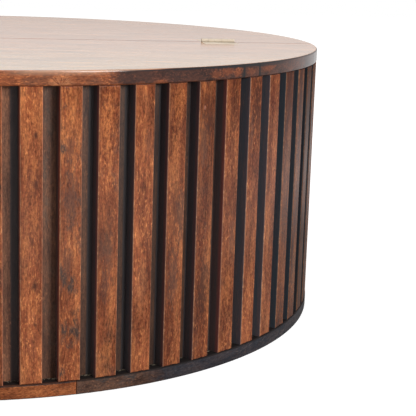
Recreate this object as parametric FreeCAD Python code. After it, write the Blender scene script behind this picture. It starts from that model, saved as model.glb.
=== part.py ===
import FreeCAD, Part
import math
import os

# A round slatted drum table with a storage space under a half lid.
# Millimetres. Z is up, the origin is at the centre of the base, and the lid is at the front, on -Y.
# Angles round the drum are in degrees from the front, positive towards +X.

os.makedirs("parts", exist_ok=True)

# The drum as a whole
drum_diameter = 900.0
drum_height = 350.0

# The top: boards that run along the seam
top_thickness = 16.0
top_edge_round = 2.0
under_edge_round = 1.5
edge_facet_count = 3
seam_offset = 40.0
seam_gap = 1.5
seam_easing = 0.8
lid_back_board_share = 0.32
lid_middle_board_share = 0.37
lid_strip_width = 20.0
fixed_board_count = 3

# The wall: upright slats on curved panels
slat_count = 68
slat_width = 24.0
slat_thickness = 15.0
slat_setback = 0.5
slat_arris_round = 1.6
first_slat_angle = 1.27
wall_thickness = 12.0

# The base ring
ring_thickness = 16.0
ring_width = 57.0
ring_segment_count = 6
ring_joint_angle = 12.86

# The floor of the storage space
floor_thickness = 9.0
floor_edge_gap = 0.5
bearer_width = 50.0
bearer_thickness = 12.0
bearer_distance = 130.0

# The rail under the seam, its posts and their dowels
rail_width = 45.0
rail_depth = 60.0
post_thickness = 25.0
dowel_radius = 5.0
dowel_length = 40.0
dowel_spacing = 24.0
dowel_clearance = 0.05

# The hoop inside the top of the wall
hoop_width = 24.0
hoop_thickness = 18.0

# The battens
batten_width = 40.0
batten_thickness = 18.0
batten_distance = 120.0
batten_clearance = 4.0
wall_batten_width = 60.0
wall_batten_thickness = 15.0

# The hinges
hinge_distance_share = 0.7
hinge_width = 45.0
leaf_depth = 36.0
leaf_thickness = 2.0
leaf_clearance = 0.2
knuckle_radius = 3.25
knuckle_count = 5
knuckle_gap = 0.3
knuckle_relief = 0.35
pin_radius = 1.25
pin_clearance = 0.05

# Screws: shank radius, head radius, head height, slot width and slot depth
wood_screw = {"shank": 2.0, "head": 4.0, "cone": 2.4, "slot": 0.9, "slot_depth": 1.1}
hinge_screw = {"shank": 1.5, "head": 3.1, "cone": 1.7, "slot": 0.7, "slot_depth": 0.8}
screw_clearance = 0.05
screw_tip_length = 4.0
screw_tip_share = 0.25
screw_recess = 0.5
hinge_screw_length = 12.0
top_screw_length = 30.0
ring_screw_length = 40.0
floor_screw_length = 20.0
post_screw_length = 30.0
wall_batten_screw_length = 22.0
hoop_screw_length = 30.0
rail_screw_length = 38.0
rail_counterbore_depth = 34.0
rail_counterbore_radius = 5.0

# Places of the screws as shares of the piece that they hold
ring_screw_shares = (0.25, 0.75)
floor_screw_shares = (0.3, 0.7)
bearer_screw_shares = (-0.8, -0.3, 0.3, 0.8)
post_screw_height_shares = (0.2, 0.5, 0.8)
wall_batten_screw_shares = (0.15, 0.5, 0.85)
wall_batten_screw_side_share = 0.3
hoop_front_screw_shares = (-0.8, -0.3, 0.3, 0.8)
hoop_rear_screw_shares = (-0.9, -0.5, -0.15, 0.15, 0.5, 0.9)
hoop_top_screw_shares = (-0.7, -0.3, 0.3, 0.7)
rail_screw_shares = (-0.85, -0.5, 0.0, 0.5, 0.85)
lid_batten_screw_shares = (0.08, 0.3, 0.42, 0.75, 0.96)
fixed_batten_screw_shares = (0.06, 0.3, 0.46, 0.7, 0.94)
hinge_screw_shares = ((-0.32, 0.74), (0.32, 0.74), (0.0, 0.46))

# How far a cutting tool runs past what it cuts
overrun = 5.0

# Turns in degrees, and how closely a corner has to lie on a radius to be on it
full_turn = 360.0
half_turn = full_turn / 2
quarter_turn = full_turn / 4
radius_match_share = 1e-6

# Radii and heights that follow
drum_radius = drum_diameter / 2
slat_outer = drum_radius - slat_setback
wall_outer = slat_outer - slat_thickness
wall_inner = wall_outer - wall_thickness
ring_inner = drum_radius - ring_width
hoop_inner = wall_inner - hoop_width
wall_top = drum_height - top_thickness
floor_top = ring_thickness + floor_thickness
rail_bottom = wall_top - rail_depth
hoop_bottom = wall_top - hoop_thickness
batten_bottom = wall_top - batten_thickness
seam_y = -seam_offset
rail_front = seam_y - rail_width / 2
rail_rear = seam_y + rail_width / 2
lid_edge = seam_y - seam_gap / 2
fixed_edge = seam_y + seam_gap / 2
lid_depth = drum_radius - seam_offset
fixed_board_width = (drum_radius - fixed_edge) / fixed_board_count
hinge_distance = drum_radius * hinge_distance_share
leaf_bottom = drum_height - leaf_thickness
axis_height = leaf_bottom + knuckle_radius
post_inner = wall_inner - post_thickness
post_middle = wall_inner - post_thickness / 2
hoop_middle = (hoop_inner + wall_inner) / 2
batten_outer_side = batten_distance + batten_width / 2
batten_reach = math.sqrt(hoop_inner ** 2 - batten_outer_side ** 2) - batten_clearance
reach = drum_radius + overrun
sides = {"left": -1, "right": 1}
ends = {"front": -1, "rear": 1}

up = FreeCAD.Vector(0, 0, 1)
down = FreeCAD.Vector(0, 0, -1)
nodes = {}


def disc(radius, bottom, top):
    return Part.makeCylinder(radius, top - bottom, FreeCAD.Vector(0, 0, bottom))


def tube(inner, outer, bottom, top):
    return disc(outer, bottom, top).cut(disc(inner, bottom - overrun, top + overrun))


def block(x0, x1, y0, y1, z0, z1):
    return Part.makeBox(x1 - x0, y1 - y0, z1 - z0, FreeCAD.Vector(x0, y0, z0))


def slab(y0, y1, z0, z1):
    return block(-reach, reach, y0, y1, z0, z1)


def turned(shape, angle):
    copy = shape.copy()
    copy.rotate(FreeCAD.Vector(0, 0, 0), up, angle)
    return copy


def outward(angle):
    return FreeCAD.Vector(math.sin(math.radians(angle)), -math.cos(math.radians(angle)), 0)


def at_radius(radius, angle, height):
    return outward(angle) * radius + up * height


def laid(shape, point, direction):
    copy = shape.copy()
    copy.Placement = FreeCAD.Placement(point, FreeCAD.Rotation(up, direction))
    return copy


def round_edges(shape, radius, size):
    """Round the edges whose ends both lie on the given radius."""
    edges = []
    for edge in shape.Edges:
        distances = [math.hypot(v.X, v.Y) for v in edge.Vertexes]
        if all(math.isclose(d, radius, rel_tol=radius_match_share) for d in distances):
            edges.append(edge)
    return shape.makeFillet(size, edges)


# Screws are made along +Z, with the face of the head at zero.
def screw(size, length):
    shank_end = length - screw_tip_length
    head = Part.makeCone(size["head"], size["shank"], size["cone"])
    shank = Part.makeCylinder(size["shank"], shank_end)
    tip = Part.makeCone(
        size["shank"], size["shank"] * screw_tip_share, screw_tip_length, up * shank_end)
    slot = block(-size["head"], size["head"], -size["slot"] / 2, size["slot"] / 2, 0, size["slot_depth"])
    return head.fuse([shank, tip]).removeSplitter().cut(slot)


def screw_hole(size, length, mouth_radius, mouth_depth):
    head_room = size["head"] + screw_clearance
    shank_room = size["shank"] + screw_clearance
    sink = Part.makeCone(head_room, shank_room, size["cone"])
    bore = Part.makeCylinder(shank_room, length + screw_clearance)
    mouth = Part.makeCylinder(mouth_radius, mouth_depth, down * mouth_depth)
    return sink.fuse([bore, mouth])


def add_screws(name, size, length, places, through, mouth_radius=None, mouth_depth=screw_recess):
    """Add a group of screws and drill the pieces that they go through."""
    body = screw(size, length)
    hole = screw_hole(size, length, mouth_radius or size["head"] + screw_clearance, mouth_depth)
    nodes[name] = Part.makeCompound([laid(body, point, way) for point, way in places])
    holes = [laid(hole, point, way) for point, way in places]
    for piece in through:
        box = nodes[piece].BoundBox
        near = [tool for tool in holes if box.intersect(tool.BoundBox)]
        if near:
            nodes[piece] = nodes[piece].cut(near)


# Base ring
segment_angle = full_turn / ring_segment_count
ring_sector = Part.makeCylinder(drum_radius, ring_thickness, FreeCAD.Vector(0, 0, 0), up, segment_angle)
ring_blank = ring_sector.cut(disc(ring_inner, -overrun, ring_thickness + overrun))
ring_blank = round_edges(ring_blank, drum_radius, under_edge_round)
ring_names = []
for index in range(ring_segment_count):
    name = "base_ring_segment_" + str(index + 1)
    # the blank starts on +X, a quarter turn past the front
    nodes[name] = turned(ring_blank, ring_joint_angle + index * segment_angle - quarter_turn)
    ring_names.append(name)

# Curved wall panels, parted at the front, at the rear and under both ends of the seam
wall = tube(wall_inner, wall_outer, ring_thickness, wall_top)
quarters = {
    "front_right": block(0, reach, -reach, seam_y, 0, drum_height),
    "rear_right": block(0, reach, seam_y, reach, 0, drum_height),
    "rear_left": block(-reach, 0, seam_y, reach, 0, drum_height),
    "front_left": block(-reach, 0, -reach, seam_y, 0, drum_height),
}
wall_names = []
for quarter, space in quarters.items():
    nodes["wall_panel_" + quarter] = wall.common(space)
    wall_names.append("wall_panel_" + quarter)

# Slats, one group to each quarter of the drum
slat_space = block(-slat_width / 2, slat_width / 2, -reach, 0, ring_thickness, wall_top)
slat = tube(wall_outer, slat_outer, ring_thickness, wall_top).common(slat_space)
slat = round_edges(slat, slat_outer, slat_arris_round)
slat_groups = {quarter: [] for quarter in quarters}
for index in range(slat_count):
    quarter = list(quarters)[int(index * len(quarters) / slat_count)]
    slat_groups[quarter].append(turned(slat, first_slat_angle + index * full_turn / slat_count))
for quarter, group in slat_groups.items():
    nodes["slats_" + quarter] = Part.makeCompound(group)

# Floor of the storage space and its bearers
nodes["floor_panel"] = disc(wall_inner - floor_edge_gap, ring_thickness, floor_top)
bearer_bottom = ring_thickness - bearer_thickness
for end, sign in ends.items():
    middle = sign * bearer_distance
    bearer = slab(middle - bearer_width / 2, middle + bearer_width / 2, bearer_bottom, ring_thickness)
    nodes["floor_bearer_" + end] = bearer.common(disc(ring_inner, 0, ring_thickness))

# Centre rail, its posts and the dowels between them
wall_space = disc(wall_inner, 0, wall_top)
nodes["centre_rail"] = slab(rail_front, rail_rear, rail_bottom, wall_top).common(wall_space)
dowels = []
dowel_holes = []
for side, sign in sides.items():
    post = block(post_inner, reach, rail_front, rail_rear, floor_top, rail_bottom)
    post = post.common(wall_space)
    if sign < 0:
        post = post.mirror(FreeCAD.Vector(0, 0, 0), FreeCAD.Vector(1, 0, 0))
    nodes["rail_post_" + side] = post
    for shift in (-dowel_spacing / 2, dowel_spacing / 2):
        foot = FreeCAD.Vector(sign * post_middle, seam_y + shift, rail_bottom - dowel_length / 2)
        dowels.append(Part.makeCylinder(dowel_radius, dowel_length, foot))
        dowel_holes.append(Part.makeCylinder(dowel_radius + dowel_clearance, dowel_length, foot))
nodes["rail_dowels"] = Part.makeCompound(dowels)
for name in ("centre_rail", "rail_post_left", "rail_post_right"):
    nodes[name] = nodes[name].cut(dowel_holes)

# Hoop inside the top of the wall, parted by the rail
hoop = tube(hoop_inner, wall_inner, hoop_bottom, wall_top)
nodes["hoop_front"] = hoop.common(slab(-reach, rail_front, 0, drum_height))
nodes["hoop_rear"] = hoop.common(slab(rail_rear, reach, 0, drum_height))

# Upright battens over the wall's front and rear joints
wall_batten = block(
    -wall_batten_width / 2, wall_batten_width / 2,
    -reach, wall_batten_thickness - wall_inner, floor_top, hoop_bottom)
wall_batten = wall_batten.common(wall_space)
nodes["wall_batten_front"] = wall_batten
nodes["wall_batten_rear"] = turned(wall_batten, half_turn)

# Top: one disc with eased edges, parted at the seam and then into boards. Each eased edge is a few facets.
def eased_edge(centre_x, centre_z, size, start_angle):
    points = []
    for step in range(edge_facet_count + 1):
        angle = math.radians(start_angle + quarter_turn * step / edge_facet_count)
        x = centre_x + size * math.cos(angle)
        points.append(FreeCAD.Vector(x, 0, centre_z + size * math.sin(angle)))
    return points


under_edge_centre = drum_radius - under_edge_round
top_outline = [FreeCAD.Vector(0, 0, wall_top)]
top_outline += eased_edge(under_edge_centre, wall_top + under_edge_round, under_edge_round, -quarter_turn)
top_outline += eased_edge(drum_radius - top_edge_round, drum_height - top_edge_round, top_edge_round, 0)
top_outline.append(FreeCAD.Vector(0, 0, drum_height))
top_face = Part.Face(Part.makePolygon(top_outline + top_outline[:1]))
top = top_face.revolve(FreeCAD.Vector(0, 0, 0), up, full_turn)
seam_low = drum_height - seam_easing
seam_outline = [
    FreeCAD.Vector(-reach, lid_edge, wall_top - overrun),
    FreeCAD.Vector(-reach, lid_edge, seam_low),
    FreeCAD.Vector(-reach, lid_edge - seam_easing, drum_height),
    FreeCAD.Vector(-reach, lid_edge - seam_easing, drum_height + overrun),
    FreeCAD.Vector(-reach, fixed_edge + seam_easing, drum_height + overrun),
    FreeCAD.Vector(-reach, fixed_edge + seam_easing, drum_height),
    FreeCAD.Vector(-reach, fixed_edge, seam_low),
    FreeCAD.Vector(-reach, fixed_edge, wall_top - overrun),
]
seam_face = Part.Face(Part.makePolygon(seam_outline + seam_outline[:1]))
top = top.cut(seam_face.extrude(FreeCAD.Vector(2 * reach, 0, 0)))

# Each hinge lies in a shallow recess, with a round relief along its knuckles.
for sign in sides.values():
    middle = sign * hinge_distance
    half = hinge_width / 2 + leaf_clearance
    recess = block(
        middle - half, middle + half, seam_y - leaf_depth - leaf_clearance,
        seam_y + leaf_depth + leaf_clearance, leaf_bottom, drum_height + overrun)
    relief = Part.makeCylinder(
        knuckle_radius + knuckle_relief, 2 * half, FreeCAD.Vector(middle - half, seam_y, axis_height),
        FreeCAD.Vector(1, 0, 0))
    top = top.cut([recess, relief])

lid_line_back = seam_y - lid_depth * lid_back_board_share
lid_line_middle = lid_line_back - lid_depth * lid_middle_board_share
lid_line_strip = lid_line_middle - lid_strip_width
fixed_line_front = fixed_edge + fixed_board_width
fixed_line_rear = fixed_line_front + fixed_board_width
lid_boards = {
    "lid_board_back": (lid_line_back, seam_y),
    "lid_board_middle": (lid_line_middle, lid_line_back),
    "lid_board_strip": (lid_line_strip, lid_line_middle),
    "lid_board_front": (-reach, lid_line_strip),
}
fixed_boards = {
    "fixed_top_board_front": (seam_y, fixed_line_front),
    "fixed_top_board_middle": (fixed_line_front, fixed_line_rear),
    "fixed_top_board_rear": (fixed_line_rear, reach),
}
for name, (y0, y1) in {**lid_boards, **fixed_boards}.items():
    nodes[name] = top.common(slab(y0, y1, wall_top - overrun, drum_height + overrun))

# Battens under both parts of the top
lid_batten_names = []
fixed_batten_names = []
for side, sign in sides.items():
    x0 = sign * batten_distance - batten_width / 2
    x1 = x0 + batten_width
    nodes["lid_batten_" + side] = block(
        x0, x1, -batten_reach, rail_front - batten_clearance, batten_bottom, wall_top)
    nodes["fixed_top_batten_" + side] = block(
        x0, x1, rail_rear + batten_clearance, batten_reach, batten_bottom, wall_top)
    lid_batten_names.append("lid_batten_" + side)
    fixed_batten_names.append("fixed_top_batten_" + side)


# Hinges: a leaf reaches its own knuckles and stands clear of the other leaf's.
def hinge_leaf(middle, away, own):
    pitch = hinge_width / knuckle_count
    start = middle - hinge_width / 2
    far = leaf_depth * away
    near = (knuckle_radius + knuckle_gap) * away
    plate = block(
        start, start + hinge_width, seam_y + min(near, far), seam_y + max(near, far),
        leaf_bottom, drum_height)
    solids = []
    for index in own:
        x0 = start + index * pitch + (knuckle_gap / 2 if index else 0)
        x1 = start + (index + 1) * pitch - (knuckle_gap / 2 if index < knuckle_count - 1 else 0)
        solids.append(Part.makeCylinder(
            knuckle_radius, x1 - x0, FreeCAD.Vector(x0, seam_y, axis_height), FreeCAD.Vector(1, 0, 0)))
        solids.append(block(
            x0, x1, seam_y + min(0, near), seam_y + max(0, near), leaf_bottom, drum_height))
    pin_bore = Part.makeCylinder(
        pin_radius + pin_clearance, hinge_width + 2 * overrun,
        FreeCAD.Vector(start - overrun, seam_y, axis_height), FreeCAD.Vector(1, 0, 0))
    return plate.fuse(solids).removeSplitter().cut(pin_bore)


lid_leaf_names = []
fixed_leaf_names = []
for side, sign in sides.items():
    middle = sign * hinge_distance
    nodes["hinge_lid_leaf_" + side] = hinge_leaf(middle, -1, range(1, knuckle_count, 2))
    nodes["hinge_fixed_leaf_" + side] = hinge_leaf(middle, 1, range(0, knuckle_count, 2))
    nodes["hinge_pin_" + side] = Part.makeCylinder(
        pin_radius, hinge_width, FreeCAD.Vector(middle - hinge_width / 2, seam_y, axis_height),
        FreeCAD.Vector(1, 0, 0))
    lid_leaf_names.append("hinge_lid_leaf_" + side)
    fixed_leaf_names.append("hinge_fixed_leaf_" + side)


def hinge_screw_places(away):
    places = []
    for sign in sides.values():
        for along, across in hinge_screw_shares:
            x = sign * hinge_distance + along * hinge_width
            places.append((FreeCAD.Vector(x, seam_y + away * across * leaf_depth, drum_height), down))
    return places


def batten_screw_places(near, far, shares):
    places = []
    for sign in sides.values():
        for share in shares:
            y = near + share * (far - near)
            places.append((FreeCAD.Vector(sign * batten_distance, y, batten_bottom), up))
    return places


# Screws of the hinges and of the top
add_screws("hinge_screws_lid", hinge_screw, hinge_screw_length, hinge_screw_places(-1),
           lid_leaf_names + list(lid_boards))
add_screws("hinge_screws_fixed", hinge_screw, hinge_screw_length, hinge_screw_places(1),
           fixed_leaf_names + list(fixed_boards))
lid_places = batten_screw_places(rail_front - batten_clearance, -batten_reach, lid_batten_screw_shares)
add_screws("lid_batten_screws", wood_screw, top_screw_length, lid_places,
           lid_batten_names + list(lid_boards))
fixed_places = batten_screw_places(rail_rear + batten_clearance, batten_reach, fixed_batten_screw_shares)
add_screws("fixed_top_batten_screws", wood_screw, top_screw_length, fixed_places,
           fixed_batten_names + list(fixed_boards))
rail_screw_line = (fixed_edge + rail_rear) / 2
rail_places = []
for share in rail_screw_shares:
    spot = FreeCAD.Vector(share * wall_inner, rail_screw_line, rail_bottom + rail_counterbore_depth)
    rail_places.append((spot, up))
add_screws("rail_screws", wood_screw, rail_screw_length, rail_places,
           ["centre_rail"] + list(fixed_boards), rail_counterbore_radius, rail_counterbore_depth + overrun)

# Screws of the hoop: across into the wall, and up into the fixed part of the top
front_span = math.degrees(math.acos(-rail_front / hoop_inner))
rear_span = half_turn - math.degrees(math.acos(-rail_rear / hoop_inner))
hoop_height = (hoop_bottom + wall_top) / 2
hoop_places = []
for share in hoop_front_screw_shares:
    angle = share * front_span
    hoop_places.append((at_radius(hoop_inner, angle, hoop_height), outward(angle)))
for share in hoop_rear_screw_shares:
    angle = half_turn + share * rear_span
    hoop_places.append((at_radius(hoop_inner, angle, hoop_height), outward(angle)))
add_screws("hoop_screws", wood_screw, hoop_screw_length, hoop_places,
           ["hoop_front", "hoop_rear"] + wall_names)
hoop_top_places = []
for share in hoop_top_screw_shares:
    angle = half_turn + share * rear_span
    hoop_top_places.append((at_radius(hoop_middle, angle, hoop_bottom), up))
add_screws("hoop_top_screws", wood_screw, top_screw_length, hoop_top_places,
           ["hoop_rear"] + list(fixed_boards))

# Screws of the base: up through the ring into the wall, and down through the floor
wall_middle = (wall_inner + wall_outer) / 2
ledge_middle = (ring_inner + wall_inner) / 2
ring_places = []
floor_places = []
for index in range(ring_segment_count):
    for share in ring_screw_shares:
        angle = ring_joint_angle + (index + share) * segment_angle
        ring_places.append((at_radius(wall_middle, angle, screw_recess), up))
    for share in floor_screw_shares:
        angle = ring_joint_angle + (index + share) * segment_angle
        floor_places.append((at_radius(ledge_middle, angle, floor_top), down))
add_screws("ring_screws", wood_screw, ring_screw_length, ring_places, ring_names + wall_names)
add_screws("floor_screws", wood_screw, floor_screw_length, floor_places, ["floor_panel"] + ring_names)
bearer_half = math.sqrt(ring_inner ** 2 - bearer_distance ** 2)
bearer_places = []
for sign in ends.values():
    for share in bearer_screw_shares:
        spot = FreeCAD.Vector(share * bearer_half, sign * bearer_distance, floor_top)
        bearer_places.append((spot, down))
add_screws("bearer_screws", wood_screw, floor_screw_length, bearer_places,
           ["floor_panel", "floor_bearer_front", "floor_bearer_rear"])

# Screws of the posts and of the upright battens, from inside into the wall
post_places = []
post_height = rail_bottom - floor_top
for sign in sides.values():
    for shift in (-dowel_spacing / 2, dowel_spacing / 2):
        for share in post_screw_height_shares:
            spot = FreeCAD.Vector(sign * post_inner, seam_y + shift, floor_top + share * post_height)
            post_places.append((spot, FreeCAD.Vector(sign, 0, 0)))
add_screws("post_screws", wood_screw, post_screw_length, post_places,
           ["rail_post_left", "rail_post_right"] + wall_names)
wall_batten_places = []
wall_batten_height = hoop_bottom - floor_top
for sign in ends.values():
    for side_sign in sides.values():
        for share in wall_batten_screw_shares:
            x = side_sign * wall_batten_screw_side_share * wall_batten_width
            y = sign * (wall_inner - wall_batten_thickness)
            spot = FreeCAD.Vector(x, y, floor_top + share * wall_batten_height)
            wall_batten_places.append((spot, FreeCAD.Vector(0, sign, 0)))
add_screws("wall_batten_screws", wood_screw, wall_batten_screw_length, wall_batten_places,
           ["wall_batten_front", "wall_batten_rear"] + wall_names)

for name, shape in nodes.items():
    shape.exportStep(os.path.join("parts", name + ".step"))
    print(name, len(shape.Solids), "solids", round(shape.Volume), "mm3", shape.isValid())
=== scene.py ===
import math
import bpy
from mathutils import Matrix, Vector

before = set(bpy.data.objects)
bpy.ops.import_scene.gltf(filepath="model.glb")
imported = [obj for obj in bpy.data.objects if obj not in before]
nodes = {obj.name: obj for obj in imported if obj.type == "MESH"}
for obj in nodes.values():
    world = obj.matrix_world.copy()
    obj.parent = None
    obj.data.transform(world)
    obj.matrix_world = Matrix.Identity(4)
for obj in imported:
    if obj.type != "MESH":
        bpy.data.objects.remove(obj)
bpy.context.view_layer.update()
print("frame loaded:", len(nodes), "pieces")


def tone(red, green, blue):  # a screen colour from 0 to 255 as Blender's linear colour
    linear = []
    for part in (red, green, blue):
        share = part / 255
        linear.append(share / 12.92 if share <= 0.04045 else ((share + 0.055) / 1.055) ** 2.4)
    return (*linear, 1.0)


def addNode(tree, kind, sockets=None, **settings):
    node = tree.nodes.new("ShaderNode" + kind)
    for name, value in settings.items():
        setattr(node, name, value)
    for name, value in (sockets or {}).items():
        if isinstance(value, bpy.types.NodeSocket):
            tree.links.new(value, node.inputs[name])
        else:
            node.inputs[name].default_value = value
    return node


def calc(tree, operation, *values):
    return addNode(tree, "Math", dict(enumerate(values)), operation=operation).outputs[0]


def times(tree, value, *factors):
    for factor in factors:
        value = calc(tree, "MULTIPLY", value, factor)
    return value


def vectorCalc(tree, operation, *values):
    outputs = addNode(tree, "VectorMath", dict(enumerate(values)), operation=operation).outputs
    return outputs[1 if operation in ("LENGTH", "DOT_PRODUCT") else 0]


def splitXyz(tree, vector):
    return addNode(tree, "SeparateXYZ", {0: vector}).outputs


def joinXyz(tree, x, y, z):
    return addNode(tree, "CombineXYZ", {0: x, 1: y, 2: z}).outputs[0]


def joinColour(tree, red, green, blue):
    return addNode(tree, "CombineColor", {0: red, 1: green, 2: blue}).outputs[0]


def remap(tree, value, low, high, newLow=0.0, newHigh=1.0):
    sockets = {"Value": value, "From Min": low, "From Max": high, "To Min": newLow, "To Max": newHigh}
    return addNode(tree, "MapRange", sockets).outputs[0]


def overNoise(tree, value, newLow, newHigh):  # noise lies mostly between 0.3 and 0.7
    return remap(tree, value, 0.3, 0.7, newLow, newHigh)


def mixTone(tree, share, first, second, mode="MIX"):
    sockets = {0: share, 6: first, 7: second}
    return addNode(tree, "Mix", sockets, data_type="RGBA", blend_type=mode).outputs[2]


def shaded(tree, colour, shade):
    return mixTone(tree, 1.0, colour, shade, "MULTIPLY")


def noise(tree, place, stretch, detail, rough=0.5):
    stretched = vectorCalc(tree, "MULTIPLY", place, stretch)
    sockets = {"Vector": stretched, "Scale": 1.0, "Detail": detail, "Roughness": rough}
    return addNode(tree, "TexNoise", sockets).outputs[0]


def newGroup(name, inputs, outputs):
    tree = bpy.data.node_groups.new(name, "ShaderNodeTree")
    for side, sockets in (("INPUT", inputs), ("OUTPUT", outputs)):
        for label, kind in sockets.items():
            tree.interface.new_socket(label, in_out=side, socket_type="NodeSocket" + kind)
    return tree, tree.nodes.new("NodeGroupInput"), tree.nodes.new("NodeGroupOutput")


def giveResults(tree, end, results):
    for name, value in results.items():
        tree.links.new(value, end.inputs[name])


def useGroup(tree, group, sockets):
    return addNode(tree, "Group", sockets, node_tree=group)


def newMaterial(name, sockets):
    material = bpy.data.materials.new(name)
    material.use_nodes = True
    tree = material.node_tree
    shader = next(node for node in tree.nodes if node.type == "BSDF_PRINCIPLED")
    for socket, value in sockets.items():
        shader.inputs[socket].default_value = value
    return material, tree, shader


def placeAndFacing(tree):
    where = addNode(tree, "TexCoord").outputs
    return where["Object"], where["Normal"]


def objectPlace(tree):
    return placeAndFacing(tree)[0]


def alongX(tree, place):  # turns the grain of the wood from Z to X
    split = splitXyz(tree, place)
    return joinXyz(tree, split[1], split[2], split[0])


def bumpInto(tree, shader, height, strength, distance):
    sockets = {"Height": height, "Strength": strength, "Distance": distance}
    tree.links.new(addNode(tree, "Bump", sockets).outputs[0], shader.inputs["Normal"])


# Names with "From" hold the two values between which something comes in.
# Rows of four numbers hold two such values and what holds at each of them.
# Names with "Noise" hold the scale along X, Y and Z, the detail and the roughness of a noise.
# "rough" is the roughness on dark and on light streaks, "bump" the strength and the depth in metres.

grains = {
    "seedShift": (1.7, 0.6),       # how far a seed moves the wood along Y and Z, for 1 along X
    "sway": 0.002,                 # how far the grain wanders to both sides
    "swayScales": ((9, 9, 11), (11, 11, 8)),
    # scale across, across and along the grain, detail, roughness, and where in the noise it comes in
    "masks": {
        "Band": ((64, 64, 10), 4, 0.62, None),
        "Streak": ((400, 400, 46), 3, 0.62, None),
        "Fibre": ((620, 620, 300), 2, 0.7, None),
        "Pore": ((760, 760, 105), 1, 0.5, (0.58, 0.68)),
        "Fleck": ((540, 540, 190), 2, 0.6, (0.54, 0.68)),
        "Mottle": ((58, 58, 30), 5, 0.7, (0.5, 0.62)),
        "Cloud": ((34, 34, 9), 3, 0.6, None),
    },
    "tones": ("Dark", "Mid", "Light", "Grey"),
    # tones laid over the dark one in turn, each by a mask
    "layers": [("Mid", "Band", (0.34, 0.54, 0.0, 1.0)),
               ("Light", "Band", (0.54, 0.72, 0.0, 0.6)),
               ("Light", "Streak", (0.52, 0.72, 0.0, 0.38)),
               ("Dark", "Streak", (0.46, 0.28, 0.0, 0.6))],
    "flecksInClouds": (0.42, 0.58, 0.05, 0.72),
    "fibreShade": 0.32,            # how much darker and lighter the fibres and the clouds make the wood
    "cloudShade": 0.24,
    "pore": tone(52, 30, 22),
    "poreShare": 0.4,
    "relief": {"Fibre": 0.6, "Pore": 0.5, "Streak": 0.5},  # the pores are hollows, the rest stands up
    "markFrom": (1.0, 0.3),        # a mark starts at its reach and is full at this share of it
}


def buildWoodGrain():  # grain runs along the local Z axis
    inputs = {"Place": "Vector", "Seed": "Float"}
    tree, start, end = newGroup("woodGrain", inputs, dict.fromkeys(grains["masks"], "Float"))
    seed = start.outputs["Seed"]
    shift = joinXyz(tree, seed, *[times(tree, seed, share) for share in grains["seedShift"]])
    place = vectorCalc(tree, "ADD", start.outputs["Place"], shift)
    sideways = []
    for scale in grains["swayScales"]:
        sideways.append(overNoise(tree, noise(tree, place, scale, 1), -grains["sway"], grains["sway"]))
    place = vectorCalc(tree, "ADD", place, joinXyz(tree, *sideways, 0.0))
    masks = {}
    for name, (stretch, detail, rough, between) in grains["masks"].items():
        mask = noise(tree, place, stretch, detail, rough)
        masks[name] = remap(tree, mask, *between) if between else mask
    giveResults(tree, end, masks)
    return tree


def buildWoodColour():
    inputs = dict.fromkeys([*grains["masks"], "Contrast", "Grey Share"], "Float")
    inputs.update(dict.fromkeys(grains["tones"], "Color"))
    outputs = {"Color": "Color", "Height": "Float", "Gloss": "Float"}
    tree, start, end = newGroup("woodColour", inputs, outputs)
    read = start.outputs
    colour = read["Dark"]
    for target, mask, between in grains["layers"]:
        colour = mixTone(tree, remap(tree, read[mask], *between), colour, read[target])
    colour = mixTone(tree, times(tree, read["Mottle"], read["Grey Share"]), colour, read["Grey"])
    fleck = times(tree, read["Fleck"], remap(tree, read["Cloud"], *grains["flecksInClouds"]))
    colour = mixTone(tree, fleck, colour, read["Light"])
    fibreSwing = overNoise(tree, read["Fibre"], -grains["fibreShade"], grains["fibreShade"])
    cloudSwing = overNoise(tree, read["Cloud"], -grains["cloudShade"], grains["cloudShade"])
    swing = calc(tree, "ADD", fibreSwing, cloudSwing)
    shade = calc(tree, "ADD", times(tree, swing, read["Contrast"]), 1.0)
    colour = shaded(tree, colour, joinColour(tree, shade, shade, shade))
    colour = mixTone(tree, times(tree, read["Pore"], grains["poreShare"]), colour, grains["pore"])
    part = {name: times(tree, read[name], share) for name, share in grains["relief"].items()}
    height = calc(tree, "ADD", calc(tree, "SUBTRACT", part["Fibre"], part["Pore"]), part["Streak"])
    gloss = overNoise(tree, read["Streak"], 0.0, 1.0)
    giveResults(tree, end, {"Color": colour, "Height": height, "Gloss": gloss})
    return tree


def buildSpot():  # a round or long mark at one place: knots, pale eyes, patches
    inputs = {**dict.fromkeys(["Place", "Centre", "Reach"], "Vector"),
              **dict.fromkeys(["Torn", "Ragged"], "Float")}
    tree, start, end = newGroup("spot", inputs, {"Mask": "Float"})
    read = start.outputs
    offset = vectorCalc(tree, "SUBTRACT", read["Place"], read["Centre"])
    far = vectorCalc(tree, "LENGTH", vectorCalc(tree, "DIVIDE", offset, read["Reach"]))
    far = calc(tree, "ADD", far, times(tree, read["Torn"], read["Ragged"]))
    giveResults(tree, end, {"Mask": remap(tree, far, *grains["markFrom"])})
    return tree


varnish = {"Specular IOR Level": 0.0, "Coat Roughness": 0.2, "Coat IOR": 1.42}

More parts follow.
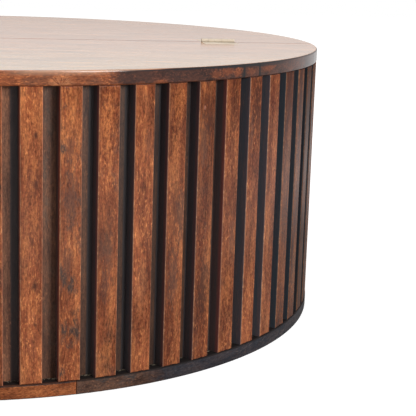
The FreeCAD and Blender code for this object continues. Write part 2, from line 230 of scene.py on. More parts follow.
slats = {
    "count": 68,
    "firstAngle": 1.27,               # degrees from the front, towards +X
    "radius": 0.4495,
    "halfWidth": 0.012,
    "frontFrom": (0.5, 0.8),          # outward share of a face's direction
    "apart": (5.0, 5.0, 5.0),         # how far from each other two slats can lie in the wood
    "dark": tone(108, 50, 30),
    "mid": tone(154, 85, 53),
    "light": tone(222, 140, 85),
    "grey": tone(88, 66, 57),
    "contrast": 1.25,
    "seed": 3.1,
    "spread": 0.16,                   # how much one slat differs from the next
    # shade, grey share and warmth of the side faces: by number from the front, and for all others.
    # The low shades of slats 10 to 14 are painted shade, where the light falls off round the side;
    # the warmth picks between the painted lit and the painted shaded side tone
    "picked": {-1: (0.9, 0.4, 0.8), 0: (0.92, 0.4, 0.9), 1: (0.95, 0.2, 0.9), 2: (0.9, 1.0, 0.9),
               3: (0.9, 0.5, 0.5), 4: (0.88, 0.2, 0.2), 5: (0.74, 0.2, 0.4), 6: (0.72, 0.4, 0.3),
               7: (0.72, 0.2, 0.6), 8: (0.81, 0.2, 0.1), 9: (0.79, 0.2, 0.1), 10: (0.52, 0.3, 0.0),
               11: (0.43, 0.4, 0.0), 12: (0.26, 0.6, 0.0), 13: (0.3, 0.6, 0.0), 14: (0.5, 0.5, 0.1)},
    "usual": (1.0, 0.3, 0.3),
    "paintedLitSide": tone(182, 92, 76),   # painted light: a reddish line on the side faces, next to the front
    # painted shade: deeper into the groove the lit side faces fade to this tone
    "paintedInnerShade": tone(112, 90, 86),
    "innerSideFrom": (0.003, 0.007),  # metres behind the front
    "paintedShadeSide": tone(77, 90, 100),    # painted shade: the cool tone of the side faces where they lie in shade
    "sideShare": (0.98, 0.86),        # of the painted side tones, on dark and on light streaks
    "ends": tone(86, 55, 42),
    "endsFrom": (0.6, 0.9),           # upright share of a face's direction
    "endsShare": (1.0, 0.7),          # of their tone, on dark and on light fibres
    "wornAndHighlight": tone(232, 168, 126),      # the arrises are rubbed paler, and partly carry a painted highlight
    "wornLeft": (-0.88, -0.96, 0.0, 0.85),  # by the share of the half width
    "wornRight": (0.88, 0.96, 0.0, 0.65),
    "wornFlecks": (0.0, 0.6, 0.4, 1.0),
    "wornDepth": (0.0005, 0.0011, 1.0, 0.0),
    "coatByHeight": (0.06, 0.33, 1.0, 0.16),    # the varnish ran down before it set
    "coatByNumber": (10.5, 12.0, 1.0, 0.62),    # and is thinner round to the side
    "rough": (0.52, 0.4),
    "bump": (0.35, 0.0006),
    # marks: kind, slat number, mm across, height mm, reach mm, length share, strength;
    # the dark marks high on slats 10 to 12 are painted shade
    "marks": [("knot", 1, 4.7, 284, 3.2, 1.6, 0.9), ("knot", 1, 4.8, 232, 4.0, 1.8, 0.6),
              ("knot", 1, 3.5, 124, 4.2, 1.7, 0.8), ("knot", 2, 2.3, 93, 3.5, 2.0, 0.6),
              ("knot", 1, 4.1, 82, 2.2, 1.5, 0.6), ("gold", 4, 11.0, 314, 1.8, 1.6, 1.0),
              ("eye", 6, -4.3, 305, 2.0, 1.6, 0.8), ("cloud", 2, -0.3, 268, 8, 3.0, 0.5),
              ("cloud", 2, 1.2, 212, 10, 4.0, 0.65), ("cloud", 2, -3.6, 147, 8, 3.0, 0.5),
              ("cloud", 3, 0.3, 153, 9, 4.0, 0.5), ("cloud", 3, -2.6, 116, 8, 3.0, 0.45),
              ("cloud", 4, 0.1, 115, 9, 4.0, 0.4), ("cloud", 5, 6.1, 188, 8, 4.5, 0.65),
              ("cloud", 6, -3.8, 270, 9, 4.5, 0.55), ("cloud", 6, 2.5, 109, 9, 4.5, 0.5),
              ("cloud", 7, 5.3, 148, 7, 5.0, 0.45), ("cloud", 8, -6.4, 273, 5, 6.0, 0.6),
              ("darkPatchAndShade", 6, 1.5, 300, 12, 3.2, 0.6), ("darkPatchAndShade", 7, 0.0, 302, 11, 4.0, 0.6),
              ("darkPatchAndShade", 8, 3.0, 298, 11, 5.0, 0.75), ("darkPatchAndShade", 10, 0.0, 306, 9, 4.0, 0.5),
              ("cloud", 5, -1.0, 120, 9, 5.0, 0.6), ("cloud", 4, 5.0, 270, 6, 3.5, 0.4),
              ("gold", 1, 0.6, 306, 5, 4.0, 0.3), ("gold", 1, 2.7, 248, 4, 6.0, 0.4),
              ("gold", 1, 3.8, 196, 4, 5.0, 0.35), ("gold", 1, 1.9, 108, 5, 4.0, 0.35),
              ("gold", 2, -1.8, 314, 5, 4.0, 0.4), ("gold", 3, -2.9, 287, 6, 6.0, 0.5),
              ("gold", 3, 1.1, 246, 4, 6.0, 0.45), ("gold", 5, -1.7, 261, 6, 6.0, 0.45),
              ("gold", 7, -7.4, 288, 3, 6.0, 0.5), ("gold", 5, 1.5, 312, 8, 3.0, 0.4),
              ("gold", 3, 1.0, 304, 9, 3.0, 0.35), ("gold", 7, 0.0, 96, 9, 4.0, 0.35),
              ("gold", 4, -1.0, 98, 8, 4.0, 0.25), ("darkPatchAndShade", 6, 0.0, 96, 11, 4.0, 0.7),
              ("darkPatchAndShade", 11, 0.0, 300, 10, 6.0, 0.95), ("darkPatchAndShade", 12, 0.0, 292, 10, 8.0, 0.95),
              ("darkPatchAndShade", 5, 0.0, 192, 11, 5.5, 0.5), ("darkPatchAndShade", 4, -1.0, 192, 9, 5.0, 0.25),
              ("darkPatchAndShade", 3, 2.0, 190, 9, 4.5, 0.25), ("darkPatchAndShade", 8, 0.0, 316, 11, 3.5, 0.5)],
    # tone, how ragged the outline is, and how much of the mark dark fibres take
    "markKinds": {"knot": (tone(58, 34, 28), 0.3, 0.8), "eye": (tone(228, 150, 122), 0.1, 0.8),
                  "cloud": (tone(88, 64, 55), 0.6, 0.8), "darkPatchAndShade": (tone(64, 34, 25), 0.7, 0.8),
                  "gold": (tone(220, 134, 78), 0.9, 0.3)},
    "markFibres": (0.36, 0.62),       # from dark to light ones
    "tornNoise": ((420, 420, 150), 3, 0.65),
}


# a place on the round wall as a place in its own slat, or with a shift of 0.5 in its own groove
def buildSlatSpace():
    inputs = {"Place": "Vector", "Facing": "Vector", "Shift": "Float"}
    numbers = ["Number", "Across", "Pick", "Depth", "Front"]
    outputs = {"Place": "Vector", **dict.fromkeys(numbers, "Float")}
    tree, start, end = newGroup("slatSpace", inputs, outputs)
    split = splitXyz(tree, start.outputs["Place"])
    angle = calc(tree, "ARCTAN2", split[0], times(tree, split[1], -1.0))
    pitch = 2 * math.pi / slats["count"]
    turned = calc(tree, "SUBTRACT", angle, math.radians(slats["firstAngle"]))
    turns = calc(tree, "DIVIDE", turned, pitch)
    number = calc(tree, "ROUND", calc(tree, "SUBTRACT", turns, start.outputs["Shift"]))
    across = times(tree, calc(tree, "SUBTRACT", turns, number), pitch * slats["radius"])
    flat = joinXyz(tree, split[0], split[1], 0.0)
    radius = vectorCalc(tree, "LENGTH", flat)
    outward = vectorCalc(tree, "NORMALIZE", flat)
    front = vectorCalc(tree, "DOT_PRODUCT", outward, start.outputs["Facing"])
    pick = addNode(tree, "TexWhiteNoise", {"W": number}, noise_dimensions="1D").outputs
    tossed = vectorCalc(tree, "MULTIPLY", pick["Color"], slats["apart"])
    giveResults(tree, end, {
        "Place": vectorCalc(tree, "ADD", joinXyz(tree, across, radius, split[2]), tossed),
        "Number": number,
        "Across": calc(tree, "DIVIDE", across, slats["halfWidth"]),
        "Pick": pick["Value"],
        "Depth": calc(tree, "SUBTRACT", slats["radius"], radius),
        "Front": remap(tree, front, *slats["frontFrom"]),
    })
    return tree


woodGrain = buildWoodGrain()
woodColour = buildWoodColour()
spot = buildSpot()
slatSpace = buildSlatSpace()
print("shared wood effects built")


def recolour(tree, grain, look, greyShare, contrast=1.0):
    sockets = {name: grain.outputs[name] for name in grains["masks"]}
    sockets.update({name: look[name.lower()] for name in grains["tones"]})
    return useGroup(tree, woodColour, {**sockets, "Grey Share": greyShare, "Contrast": contrast})


def woodTones(tree, place, seed, look, greyShare, contrast=1.0):
    grain = useGroup(tree, woodGrain, {"Place": place, "Seed": seed})
    return recolour(tree, grain, look, greyShare, contrast), grain


def finishWood(tree, shader, surface, colour, look):
    roughness = remap(tree, colour.outputs["Gloss"], 0.0, 1.0, *look["rough"])
    tree.links.new(surface, shader.inputs["Base Color"])
    tree.links.new(roughness, shader.inputs["Roughness"])
    bumpInto(tree, shader, colour.outputs["Height"], *look["bump"])


def pickedValues(tree, slat, look):  # shade and two more values, listed for some slats or grooves
    first = -slats["count"] // 2
    places = slats["count"] + 1
    brightest = 2.0  # the ramp holds the shade as a share of this
    share = calc(tree, "DIVIDE", calc(tree, "SUBTRACT", slat.outputs["Number"], first - 0.5), places)
    ramp = addNode(tree, "ValToRGB", {0: share})
    ramp.color_ramp.interpolation = "CONSTANT"
    stops = ramp.color_ramp.elements
    shade, second, third = look["usual"]
    stops[1].position = (max(look["picked"]) + 1 - first) / places
    for stop in stops:
        stop.color = (shade / brightest, second, third, 0.0)
    for number, (shade, second, third) in look["picked"].items():
        stops.new((number - first) / places).color = (shade / brightest, second, third, 1.0)
    values = addNode(tree, "SeparateColor", {0: ramp.outputs[0]}).outputs
    # the shade of the others is left to chance
    chance = remap(tree, slat.outputs["Pick"], 0.0, 1.0, 1 - look["spread"], 1 + look["spread"])
    listed = times(tree, values[0], brightest)
    shade = addNode(tree, "Mix", {0: ramp.outputs["Alpha"], 2: chance, 3: listed}).outputs[0]
    return joinColour(tree, shade, shade, shade), values[1], values[2]


def wallPoint(radius, degrees, heightMm):
    angle = math.radians(degrees)
    return (radius * math.sin(angle), -radius * math.cos(angle), heightMm / 1000)


def slatPoint(number, acrossMm, heightMm):
    degrees = slats["firstAngle"] + number * 360 / slats["count"]
    degrees += math.degrees(acrossMm / 1000 / slats["radius"])
    return wallPoint(slats["radius"], degrees, heightMm)


def placeMark(tree, place, torn, centre, reachMm, ragged):
    reach = tuple(part / 1000 for part in reachMm)
    sockets = {"Place": place, "Centre": centre, "Reach": reach, "Torn": torn, "Ragged": ragged}
    return useGroup(tree, spot, sockets).outputs["Mask"]


def makeSlatWood():
    material, tree, shader = newMaterial("slatWood", varnish)
    place, facing = placeAndFacing(tree)
    slat = useGroup(tree, slatSpace, {"Place": place, "Facing": facing})
    space = slat.outputs
    shade, greyShare, warmth = pickedValues(tree, slat, slats)
    colour, grain = woodTones(tree, space["Place"], slats["seed"], slats, greyShare, slats["contrast"])
    masks = grain.outputs
    surface = shaded(tree, colour.outputs["Color"], shade)
    torn = overNoise(tree, noise(tree, place, *slats["tornNoise"]), -1.0, 1.0)
    for kind, number, across, height, reach, length, strength in slats["marks"]:
        target, ragged, onDark = slats["markKinds"][kind]
        centre = slatPoint(number, across, height)
        mark = placeMark(tree, place, torn, centre, (reach, reach, reach * length), ragged)
        grained = remap(tree, masks["Fibre"], *slats["markFibres"], onDark, 1.0)
        surface = mixTone(tree, times(tree, mark, times(tree, grained, strength)), surface, target)
    # the side faces get painted light near the front and painted shade deeper in, cooler on some slats
    innerShare = remap(tree, space["Depth"], *slats["innerSideFrom"])
    warmSide = mixTone(tree, innerShare, slats["paintedLitSide"], slats["paintedInnerShade"])
    sideTone = shaded(tree, mixTone(tree, warmth, slats["paintedShadeSide"], warmSide), shade)
    sideShare = overNoise(tree, masks["Streak"], *slats["sideShare"])
    surface = mixTone(tree, space["Front"], mixTone(tree, sideShare, surface, sideTone), surface)
    upright = calc(tree, "ABSOLUTE", splitXyz(tree, facing)[2])
    endFace = remap(tree, upright, *slats["endsFrom"])
    endShare = times(tree, endFace, overNoise(tree, masks["Fibre"], *slats["endsShare"]))
    surface = mixTone(tree, endShare, surface, slats["ends"])
    # the arrises are painted paler: part wear, part painted highlight
    left = remap(tree, space["Across"], *slats["wornLeft"])
    right = remap(tree, space["Across"], *slats["wornRight"])
    flecks = remap(tree, masks["Fleck"], *slats["wornFlecks"])
    shallow = remap(tree, space["Depth"], *slats["wornDepth"])
    rubbedAndHighlight = times(tree, calc(tree, "MAXIMUM", left, right), flecks, shallow)
    surface = mixTone(tree, rubbedAndHighlight, surface, shaded(tree, slats["wornAndHighlight"], shade))
    coat = remap(tree, splitXyz(tree, place)[2], *slats["coatByHeight"])
    coat = times(tree, coat, remap(tree, space["Number"], *slats["coatByNumber"]))
    tree.links.new(coat, shader.inputs["Coat Weight"])
    finishWood(tree, shader, surface, colour, slats)
    return material


walls = {
    "dark": tone(72, 44, 33),
    "mid": tone(108, 72, 53),
    "light": tone(146, 96, 66),
    "grey": tone(84, 76, 66),
    "seed": 7.7,
    "spread": 0.12,
    # shade, grey share and start of the painted shadow by the next slat, by the number of the slat on
    # the groove's left, and for all others; the start is 0 in the middle of the groove and 0.7 at the
    # next slat
    "picked": {-1: (1.0, 0.3, 0.2), 0: (1.3, 0.0, 0.0), 1: (0.9, 0.45, 0.8), 2: (0.58, 0.2, 0.2),
               3: (0.44, 0.1, 0.3), 4: (0.42, 0.0, 0.45), 5: (0.42, 0.1, 0.55), 6: (0.45, 0.2, 0.6),
               7: (0.9, 0.2, 0.6), 8: (0.7, 0.2, 0.6)},
    "usual": (0.95, 0.5, 0.42),
    # painted shadow in the groove, next to the slat on its right
    "corner": tone(52, 50, 52),
    "cornerBlend": (-0.05, 0.09, 0.0, 0.9),  # before and behind its start
    "cornerRagged": 0.05,
    "mirror": 0.35,
    "rough": (0.6, 0.48),
    "bump": (0.3, 0.0005),
}


def makeWallWood():
    material, tree, shader = newMaterial("wallWood", {"Specular IOR Level": walls["mirror"]})
    slat = useGroup(tree, slatSpace, {"Place": objectPlace(tree), "Shift": 0.5})
    shade, greyShare, corner = pickedValues(tree, slat, walls)
    colour, grain = woodTones(tree, slat.outputs["Place"], walls["seed"], walls, greyShare)
    surface = shaded(tree, colour.outputs["Color"], shade)
    # paint the shadow that the next slat casts into the groove
    grooveMiddle = math.pi / slats["count"] * slats["radius"] / slats["halfWidth"]
    fromMiddle = calc(tree, "SUBTRACT", slat.outputs["Across"], grooveMiddle)
    ragged = overNoise(tree, grain.outputs["Band"], -walls["cornerRagged"], walls["cornerRagged"])
    fromStart = calc(tree, "SUBTRACT", calc(tree, "ADD", fromMiddle, ragged), corner)
    surface = mixTone(tree, remap(tree, fromStart, *walls["cornerBlend"]), surface, walls["corner"])
    finishWood(tree, shader, surface, colour, walls)
    return material


rings = {
    "segments": 6,
    "firstJoint": 12.86,              # degrees from the front
    "seed": 20.0,
    "seedStep": 1.3,                  # from one segment to the next
    "dark": tone(62, 45, 39),
    "mid": tone(94, 70, 59),
    "light": tone(124, 86, 66),
    "grey": tone(70, 64, 62),
    "greyShare": 0.8,
    # the last segment is of warmer wood and took no stain
    "warmSegment": {"dark": tone(108, 55, 32), "mid": tone(156, 89, 54), "light": tone(208, 130, 80),
                    "grey": tone(104, 76, 60), "greyShare": 0.3},
    "stain": {"dark": tone(34, 35, 41), "mid": tone(50, 51, 58), "light": tone(78, 70, 70),
              "grey": tone(42, 46, 54)},
    "stainBlend": (-0.164, -0.13, 0.0, 0.92),  # along each segment, from its middle
    "stainRagged": 0.03,
    "stainContrast": 0.8,
    "paintedLedgeShade": tone(38, 34, 33),        # painted shade: the ledge between the slats and the ring's arris are painted dark
    "arrisFrom": (0.05, 0.3),         # upward share of a face's direction
    "arrisShare": 0.85,
    "ledgeFrom": (0.7, 0.95),
    "ledgeRadiusFrom": (0.448, 0.446),
    "ledgeShare": 0.9,
    "dust": tone(158, 148, 128),      # dust and glue lie along the foot of the wall
    "dustNoise": ((90, 90, 90), 3, 0.7),
    "dustReach": (0.4, 0.65, 0.0, 0.007),
    "dustFrom": (0.0, -0.001),        # metres behind its reach
    "gritNoise": ((420, 420, 420), 3, 0.7),
    "gritShare": (0.44, 0.56, 0.0, 0.75),
    "wallRadius": 0.4345,
    "coat": (0.5, 0.06),              # on the side and on the arris
    "rough": (0.5, 0.36),
    "bump": (0.3, 0.0005),
}


def makeRingWood(number):
    warm = number == rings["segments"] - 1
    look = rings["warmSegment"] if warm else rings
    step = 360 / rings["segments"]
    middle = rings["firstJoint"] + step / 2 + step * number
    material, tree, shader = newMaterial(f"ringWood_{number + 1}", varnish)
    place, facing = placeAndFacing(tree)
    turn = {"Vector": place, "Rotation": (0.0, 0.0, -math.radians(middle))}
    turned = addNode(tree, "Mapping", turn).outputs[0]
    split = splitXyz(tree, turned)
    seed = rings["seed"] + rings["seedStep"] * number
    colour, grain = woodTones(tree, alongX(tree, turned), seed, look, look["greyShare"])
    surface = colour.outputs["Color"]
    if not warm:
        ragged = overNoise(tree, grain.outputs["Band"], -rings["stainRagged"], rings["stainRagged"])
        taken = remap(tree, calc(tree, "ADD", split[0], ragged), *rings["stainBlend"])
        stained = recolour(tree, grain, rings["stain"], rings["stainContrast"])
        surface = mixTone(tree, taken, surface, stained.outputs["Color"])
    upward = splitXyz(tree, facing)[2]
    # painted shade on the arris under the slats and on the ledge in the grooves
    arris = times(tree, remap(tree, upward, *rings["arrisFrom"]), rings["arrisShare"])
    surface = mixTone(tree, arris, surface, rings["paintedLedgeShade"])
    flat = remap(tree, upward, *rings["ledgeFrom"])
    radius = vectorCalc(tree, "LENGTH", joinXyz(tree, split[0], split[1], 0.0))
    behind = remap(tree, radius, *rings["ledgeRadiusFrom"])
    surface = mixTone(tree, times(tree, flat, behind, rings["ledgeShare"]), surface, rings["paintedLedgeShade"])
    reach = remap(tree, noise(tree, place, *rings["dustNoise"]), *rings["dustReach"])
    fromWall = calc(tree, "SUBTRACT", radius, rings["wallRadius"])
    near = remap(tree, calc(tree, "SUBTRACT", fromWall, reach), *rings["dustFrom"])
    grit = remap(tree, noise(tree, place, *rings["gritNoise"]), *rings["gritShare"])
    surface = mixTone(tree, times(tree, near, flat, grit), surface, rings["dust"])
    coat = remap(tree, upward, *rings["arrisFrom"], *rings["coat"])
    tree.links.new(coat, shader.inputs["Coat Weight"])
    finishWood(tree, shader, surface, colour, rings)
    return material


tops = {
    "radius": 0.45,
    "height": 0.35,
    "face": {"dark": tone(136, 96, 69), "mid": tone(162, 116, 83), "light": tone(188, 137, 97),
             "grey": tone(139, 113, 93)},
    "faceGrey": 0.5,
    "faceContrast": 0.52,
    "faceFrom": (0.95, 0.99),         # upright share of a face's direction
    "paintedFrontLight": (1.27, 1.0),         # front and back of the top; the front is painted lighter, as painted light
    "yellower": (-0.42, -0.12, 1.2, 1.0),  # the front part of the top is less red
    "rim": {"dark": tone(84, 40, 24), "mid": tone(139, 75, 43), "light": tone(198, 116, 68),
            "grey": tone(98, 68, 52)},
    "rimGrey": 0.45,
    "rimSeed": 0.4,                   # added to the seed of the board
    "endGrain": {"dark": tone(42, 25, 21), "mid": tone(74, 42, 32), "light": tone(114, 66, 47),
                 "grey": tone(56, 42, 37)},
    "endGrainGrey": 0.35,
    "endGrainContrast": 0.75,
    # the next ones go by the sideways share of the rim's direction: 0 at the front, 1 at the sides
    "endGrainFrom": (0.292, 0.322),
    "edgeReach": (0.3, 0.72, 0.0013, 0.0042),  # how far the painted shade on the top edge runs down the rim
    "edgeStarts": (0.26, 0.36, 0.0, 0.92),
    "edgeFades": (0.7, 0.82, 1.0, 0.12),       # and where it fades out again
    "paleStarts": (0.04, 0.1, 0.0, 0.6),       # a painted highlight along the rim's top edge at the front
    "paleEndsFrom": (0.31, 0.26),
    "rimCoat": (0.72, 0.9, 0.45, 0.8),         # share of the face's coat
    # painted shade on the eased top edge of the rim
    "edge": tone(30, 31, 35),
    "edgeRagged": 0.0012,
    "edgeFrom": (0.0007, -0.0005),    # metres below its reach
    # painted highlight on the rim's top edge
    "paintedEdgeHighlight": tone(204, 162, 134),
    "paleFrom": (0.0062, 0.0012),     # metres below the face
    "coat": (0.96, 0.71),             # front and back: the finish is rubbed duller towards the back
    "coatStreaks": (0.96, 1.04),
    "coatRoughness": 0.16,
    "rough": (0.48, 0.34),
    "bump": (0.12, 0.0003),
    # marks on the end grain: kind, degrees from the front, height mm, mm along and up, strength
    "marks": [("warm", 24.6, 335.8, 11.0, 3.0, 0.7), ("warm", 21.6, 335.4, 7.0, 2.4, 0.5),
              ("dark", 28.5, 343.5, 26.0, 11.0, 0.6), ("warm", 34.6, 340.0, 13.0, 7.0, 0.5),
              ("warm", 36.8, 342.6, 13.0, 6.5, 0.6), ("warm", 39.0, 342.0, 9.0, 7.0, 0.75),
              ("warm", 46.6, 343.0, 20.0, 6.0, 0.5), ("warm", 42.0, 341.0, 11.0, 6.0, 0.4)],
    # tone, and how strong the light flecks are in it
    "markKinds": {"warm": (tone(132, 68, 38), 0.6), "dark": (tone(58, 36, 31), 0.15)},
    "markRagged": 0.45,
    "tornNoise": ((260, 260, 320), 3, 0.65),
    "feather": tone(214, 146, 98),    # a figure of fine rays that open upwards and to the right
    "featherFoot": (10.4, 333.5),     # degrees from the front, height mm
    "featherRays": (9.0, 90.0),       # noise scale round the foot and away from it
    "rayNoise": ((1, 1, 1), 2, 0.6),
    "rayFrom": (0.42, 0.6),
    "featherFrom": (0.017, 0.009),    # metres from the foot
    "featherFibres": (0.3, 0.6, 0.2, 0.65),
    "joint": tone(28, 26, 27),        # the glued joints show as fine dark lines
    "jointFrom": (0.0019, 0.0006),    # metres to its side
    "jointShare": (0.95, 0.35),       # on the rim and on the face
    # seed and places of glued joints along Y in mm
    "boards": {
        "lid_board_back": (1.3, (-171.2,)),
        "lid_board_middle": (2.9, (-171.2, -322.9)),
        "lid_board_strip": (4.2, (-322.9, -342.9)),
        "lid_board_front": (5.6, (-342.9,)),
        "fixed_top_board_front": (6.4, (123.83,)),
        "fixed_top_board_middle": (8.1, (123.83, 286.92)),
        "fixed_top_board_rear": (9.5, (286.92,)),
    },
    "featheredBoard": "lid_board_front",
}


def featherRim(tree, rim, masks, place):
    foot = wallPoint(tops["radius"], *tops["featherFoot"])
    offset = vectorCalc(tree, "SUBTRACT", place, foot)
    parts = splitXyz(tree, offset)
    turn = calc(tree, "ARCTAN2", parts[2], parts[0])
    far = vectorCalc(tree, "LENGTH", offset)
    roundScale, awayScale = tops["featherRays"]
    rayPlace = joinXyz(tree, times(tree, turn, roundScale), times(tree, far, awayScale), 0.0)
    rays = remap(tree, noise(tree, rayPlace, *tops["rayNoise"]), *tops["rayFrom"])
    within = remap(tree, far, *tops["featherFrom"])
    fibres = remap(tree, masks["Fibre"], *tops["featherFibres"])
    return mixTone(tree, times(tree, within, fibres, rays), rim, tops["feather"])


def markRim(tree, rim, masks, place):
    torn = overNoise(tree, noise(tree, place, *tops["tornNoise"]), -1.0, 1.0)
    for kind, degrees, height, reach, rise, strength in tops["marks"]:
        target, fleckShare = tops["markKinds"][kind]
        centre = wallPoint(tops["radius"], degrees, height)
        mark = placeMark(tree, place, torn, centre, (reach, reach, rise), tops["markRagged"])
        flecks = times(tree, masks["Fleck"], fleckShare)
        flecked = mixTone(tree, flecks, target, tops["rim"]["light"])
        rim = mixTone(tree, times(tree, mark, strength), rim, flecked)
    return rim


def edgeRim(tree, rim, masks, across, below):  # painted shade and a painted highlight along the top edge
    ragged = overNoise(tree, masks["Band"], -tops["edgeRagged"], tops["edgeRagged"])
    reach = calc(tree, "ADD", remap(tree, across, *tops["edgeReach"]), ragged)
    # painted shade along the top edge
    stain = remap(tree, calc(tree, "SUBTRACT", below, reach), *tops["edgeFrom"])
    for span in (tops["edgeStarts"], tops["edgeFades"]):
        stain = times(tree, stain, remap(tree, across, *span))
    rim = mixTone(tree, stain, rim, tops["edge"])
    # painted highlight along the top edge at the front
    paintedEdgeHighlight = remap(tree, across, *tops["paleStarts"])
    paintedEdgeHighlight = times(tree, paintedEdgeHighlight, remap(tree, across, *tops["paleEndsFrom"]))
    paintedEdgeHighlight = times(tree, paintedEdgeHighlight, remap(tree, below, *tops["paleFrom"]))
    return mixTone(tree, paintedEdgeHighlight, rim, tops["paintedEdgeHighlight"])


def makeTopWood(name, seed, joints):
    finish = {"Specular IOR Level": 0.0, "Coat Roughness": tops["coatRoughness"]}
    material, tree, shader = newMaterial("topWood_" + name, finish)
    place, facing = placeAndFacing(tree)
    depth, height = splitXyz(tree, place)[1:3]
    direction = splitXyz(tree, facing)
    upright = calc(tree, "ABSOLUTE", direction[2])
    across = calc(tree, "ABSOLUTE", direction[0])
    along = alongX(tree, place)
    colour, grain = woodTones(tree, along, seed, tops["face"], tops["faceGrey"], tops["faceContrast"])
    rimColour, rimGrain = woodTones(tree, along, seed + tops["rimSeed"], tops["rim"], tops["rimGrey"])
    endLook = (tops["endGrain"], tops["endGrainGrey"], tops["endGrainContrast"])
    endColour = recolour(tree, rimGrain, *endLook)
    endShare = remap(tree, across, *tops["endGrainFrom"])
    rim = mixTone(tree, endShare, rimColour.outputs["Color"], endColour.outputs["Color"])
    if name == tops["featheredBoard"]:
        rim = featherRim(tree, rim, rimGrain.outputs, place)
    rim = markRim(tree, rim, rimGrain.outputs, place)
    below = calc(tree, "SUBTRACT", tops["height"], height)
    rim = edgeRim(tree, rim, rimGrain.outputs, across, below)
    ends = (-tops["radius"], tops["radius"])
    # painted light: the face is painted lighter towards the front
    paintedFrontLight = remap(tree, depth, *ends, *tops["paintedFrontLight"])
    yellower = times(tree, paintedFrontLight, remap(tree, depth, *tops["yellower"]))
    shade = joinColour(tree, paintedFrontLight, yellower, yellower)
    face = shaded(tree, colour.outputs["Color"], shade)
    surface = mixTone(tree, remap(tree, upright, *tops["faceFrom"]), rim, face)
    for joint in joints:
        near = calc(tree, "ABSOLUTE", calc(tree, "SUBTRACT", depth, joint / 1000))
        shown = remap(tree, upright, *tops["faceFrom"], *tops["jointShare"])
        line = times(tree, remap(tree, near, *tops["jointFrom"]), shown)
        surface = mixTone(tree, line, surface, tops["joint"])
    streaks = overNoise(tree, grain.outputs["Streak"], *tops["coatStreaks"])
    faceCoat = times(tree, remap(tree, depth, *ends, *tops["coat"]), streaks)
    rimCoat = remap(tree, across, *tops["rimCoat"])
    coat = times(tree, faceCoat, remap(tree, upright, *tops["faceFrom"], rimCoat, 1.0))
    tree.links.new(coat, shader.inputs["Coat Weight"])
    finishWood(tree, shader, surface, colour, tops)
    return material


frames = {
    "pieces": ("centre_rail", "rail_post", "rail_dowels", "hoop_front", "hoop_rear", "floor_bearer",
               "wall_batten_front", "wall_batten_rear", "lid_batten_left", "lid_batten_right",
               "fixed_top_batten_left", "fixed_top_batten_right"),
    "seed": 12.4,
    "dark": tone(126, 88, 60),
    "mid": tone(168, 124, 86),
    "light": tone(200, 158, 116),
    "grey": tone(148, 122, 98),
    "greyShare": 0.4,
    "rough": (0.7, 0.58),
    "bump": (0.4, 0.0005),
}


def makeFrameWood():
    material, tree, shader = newMaterial("frameWood", {})
    along = alongX(tree, objectPlace(tree))
    colour = woodTones(tree, along, frames["seed"], frames, frames["greyShare"])[0]
    finishWood(tree, shader, colour.outputs["Color"], colour, frames)
    return material


plies = {
    "seed": 14.9,
    "dark": tone(150, 112, 78),
    "mid": tone(190, 150, 110),
    "light": tone(214, 180, 140),
    "grey": tone(176, 146, 114),
    "greyShare": 0.4,
    "sheet": 0.0015,
    "darkSheet": tone(118, 82, 54),
    "darkShare": 0.6,
    "edgeFrom": (0.6, 0.4),           # upright share of a face's direction
    "rough": (0.72, 0.6),
    "bump": (0.3, 0.0004),
}


def makePlywood():
    material, tree, shader = newMaterial("plywood", {})
    place, facing = placeAndFacing(tree)
    colour = woodTones(tree, alongX(tree, place), plies["seed"], plies, plies["greyShare"])[0]
    upright = calc(tree, "ABSOLUTE", splitXyz(tree, facing)[2])
    edge = remap(tree, upright, *plies["edgeFrom"])
    sheets = calc(tree, "DIVIDE", splitXyz(tree, place)[2], plies["sheet"])
    everySecond = calc(tree, "GREATER_THAN", calc(tree, "MODULO", sheets, 2.0), 1.0)
    dark = times(tree, everySecond, edge, plies["darkShare"])
    surface = mixTone(tree, dark, colour.outputs["Color"], plies["darkSheet"])
    finishWood(tree, shader, surface, colour, plies)
    return material


metals = {
    "brass": {"colour": tone(180, 168, 152), "tarnish": tone(156, 143, 126), "rough": (0.62, 0.76),
              "brushNoise": ((60, 1400, 1400), 3, 0.6)},
    "screwSteel": {"colour": tone(188, 188, 184), "tarnish": tone(120, 116, 108), "rough": (0.3, 0.5),
                   "brushNoise": ((900, 900, 900), 3, 0.6)},
    "tarnishNoise": ((90, 90, 90), 4, 0.6),
    "tarnishFrom": (0.45, 0.7),
    "tarnishShare": 0.5,
    "bump": (0.15, 0.0002),
}


def makeMetal(name):
    look = metals[name]
    material, tree, shader = newMaterial(name, {"Metallic": 1.0})
    place = objectPlace(tree)
    brushed = noise(tree, place, *look["brushNoise"])
    stain = remap(tree, noise(tree, place, *metals["tarnishNoise"]), *metals["tarnishFrom"])
    surface = mixTone(tree, times(tree, stain, metals["tarnishShare"]), look["colour"], look["tarnish"])
    tree.links.new(surface, shader.inputs["Base Color"])
    tree.links.new(overNoise(tree, brushed, *look["rough"]), shader.inputs["Roughness"])
    bumpInto(tree, shader, brushed, *metals["bump"])
    return material


def dress(names, material):
    for name in names:
        for slot in nodes[name].material_slots:
            slot.material = material


def named(*starts):
    return [name for name in nodes if name.startswith(starts)]


dress(named("slats_"), makeSlatWood())
dress(named("wall_panel_"), makeWallWood())
for name, (seed, joints) in tops["boards"].items():
    dress([name], makeTopWood(name, seed, joints))
for number in range(rings["segments"]):
    dress([f"base_ring_segment_{number + 1}"], makeRingWood(number))
dress(named(*frames["pieces"]), makeFrameWood())
dress(["floor_panel"], makePlywood())
dress(named("hinge_"), makeMetal("brass"))
dress([name for name in nodes if name.endswith("_screws")], makeMetal("screwSteel"))
print("pieces dressed")


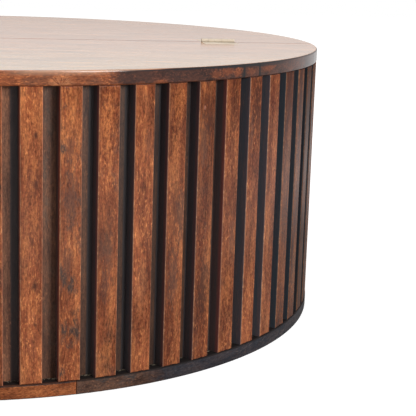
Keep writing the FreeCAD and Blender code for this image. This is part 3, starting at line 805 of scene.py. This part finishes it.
studio = {
    "ambient": 0.25,
    "floorSize": 14,
    "floorHeight": -0.0003,
    "floorTone": tone(148, 148, 146),
    "floorFaint": (0.36, 0.36, 0.36, 1),
    "floorGlow": (0.7, 1.6, 0.8, 1.0),    # near the table and far from it
    "floorMirroredFrom": (0.72, 1.35),    # metres from the middle, for the glow in reflections
    "lampTarget": (0.1, 0.0, 0.18),
    # degrees from the front towards +X, degrees up, distance, size, level on a facing white surface
    "lamps": {
        "keyLamp": (32, 18, 3.2, (0.9, 0.7), 0.62),
        "overheadLamp": (10, 80, 2.6, (1.8, 1.8), 0.6),
        "fillLamp": (205, 40, 4.0, (2.5, 2.0), 0.3),
    },
}


def seenShare(tree, path, mirrored):
    seen = calc(tree, "MAXIMUM", path["Is Camera Ray"], mirrored)
    return calc(tree, "MAXIMUM", seen, path["Is Transmission Ray"])


world = bpy.data.worlds.new("studioWorld")
bpy.context.scene.world = world
world.use_nodes = True
tree = world.node_tree
tree.nodes.clear()
path = addNode(tree, "LightPath").outputs
seen = seenShare(tree, path, path["Is Glossy Ray"])
dim = addNode(tree, "Background", {"Color": (1, 1, 1, 1), "Strength": studio["ambient"]}).outputs[0]
white = addNode(tree, "Background", {"Color": (1, 1, 1, 1), "Strength": 1.0}).outputs[0]
blend = addNode(tree, "MixShader", {0: seen, 1: dim, 2: white}).outputs[0]
addNode(tree, "OutputWorld", {"Surface": blend})

bpy.ops.mesh.primitive_plane_add(size=studio["floorSize"], location=(0, 0, studio["floorHeight"]))
floor = bpy.context.object
floor.name = "studioFloor"
bpy.ops.object.transform_apply(location=True, rotation=True, scale=True)
floorMaterial = bpy.data.materials.new("studioFloor")
floorMaterial.use_nodes = True
tree = floorMaterial.node_tree
tree.nodes.clear()
path = addNode(tree, "LightPath").outputs
away = vectorCalc(tree, "LENGTH", objectPlace(tree))
mirrored = times(tree, path["Is Glossy Ray"], remap(tree, away, *studio["floorMirroredFrom"]))
seen = seenShare(tree, path, mirrored)
plain = addNode(tree, "BsdfDiffuse", {"Color": studio["floorTone"]}).outputs[0]
faint = addNode(tree, "BsdfDiffuse", {"Color": studio["floorFaint"]}).outputs[0]
glow = addNode(tree, "Emission", {"Strength": remap(tree, away, *studio["floorGlow"])}).outputs[0]
shown = addNode(tree, "AddShader", {0: faint, 1: glow}).outputs[0]
blend = addNode(tree, "MixShader", {0: seen, 1: plain, 2: shown}).outputs[0]
addNode(tree, "OutputMaterial", {"Surface": blend})
floor.data.materials.append(floorMaterial)

for name, (azimuth, rise, distance, size, level) in studio["lamps"].items():
    lamp = bpy.data.lights.new(name, "AREA")
    lamp.shape = "RECTANGLE"
    lamp.size, lamp.size_y = size
    lamp.energy = level * math.pi ** 2 * distance ** 2
    holder = bpy.data.objects.new(name, lamp)
    bpy.context.scene.collection.objects.link(holder)
    angle, lift = math.radians(azimuth), math.radians(rise)
    away = Vector((math.sin(angle) * math.cos(lift), -math.cos(angle) * math.cos(lift), math.sin(lift)))
    holder.location = Vector(studio["lampTarget"]) + away * distance
    holder.rotation_euler = (-away).to_track_quat("-Z", "Y").to_euler()

view = {
    "place": (0.01267, -1.69846, 0.47946),
    "yaw": 0.17678,                   # radians to the right of +Y
    "pitch": 0.21085,                 # radians down
    "roll": 0.03236,
    "lens": 106.49,
    "sensor": 36.0,                   # mm, like the lens
}

cameraData = bpy.data.cameras.new("photoCamera")
cameraData.lens = view["lens"]
cameraData.sensor_width = view["sensor"]
cameraData.sensor_fit = "HORIZONTAL"
cameraData.clip_start = 0.01
camera = bpy.data.objects.new("photoCamera", cameraData)
bpy.context.scene.collection.objects.link(camera)
yawTurn = Matrix.Rotation(-view["yaw"], 4, "Z")
pitchTurn = Matrix.Rotation(math.pi / 2 - view["pitch"], 4, "X")
rollTurn = Matrix.Rotation(view["roll"], 4, "Z")
camera.matrix_world = Matrix.Translation(view["place"]) @ (yawTurn @ pitchTurn @ rollTurn)
bpy.context.scene.camera = camera
bpy.context.scene.view_settings.view_transform = "Standard"
print("studio and camera placed")
